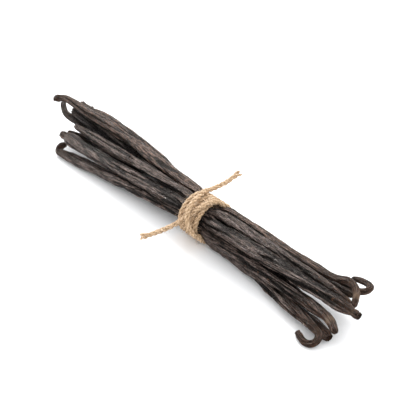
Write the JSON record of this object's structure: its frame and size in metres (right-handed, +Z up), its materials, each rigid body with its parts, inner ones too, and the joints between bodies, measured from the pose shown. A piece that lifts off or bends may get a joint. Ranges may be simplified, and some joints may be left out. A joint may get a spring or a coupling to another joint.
{
  "type": "bundle of vanilla pods",
  "caption": "Long thin dried vanilla pods, wrinkled and dark, gathered side by side and tied round the middle with turns of jute twine that end in two loose tails.",
  "frame": {"origin": "middle of the bundle's length and width, on the table it lies on", "axes": "+X along the pods towards their curled near ends, +Y across the bundle, +Z up"},
  "size_m": [0.192, 0.049, 0.0209],
  "materials": {
    "pod_dark": "satin",
    "pod_brown": "satin",
    "jute": "matt"
  },
  "bodies": {
    "root": {"pod_top": "pod_brown", "pod_crown": "pod_dark", "pod_front_top": "pod_dark", "pod_front_low": "pod_dark", "pod_hooked": "pod_dark", "pod_under": "pod_dark", "pod_looped": "pod_brown", "pod_heart": "pod_dark", "pod_slender": "pod_dark", "twine": "jute"}
  },
  "joints": []
}
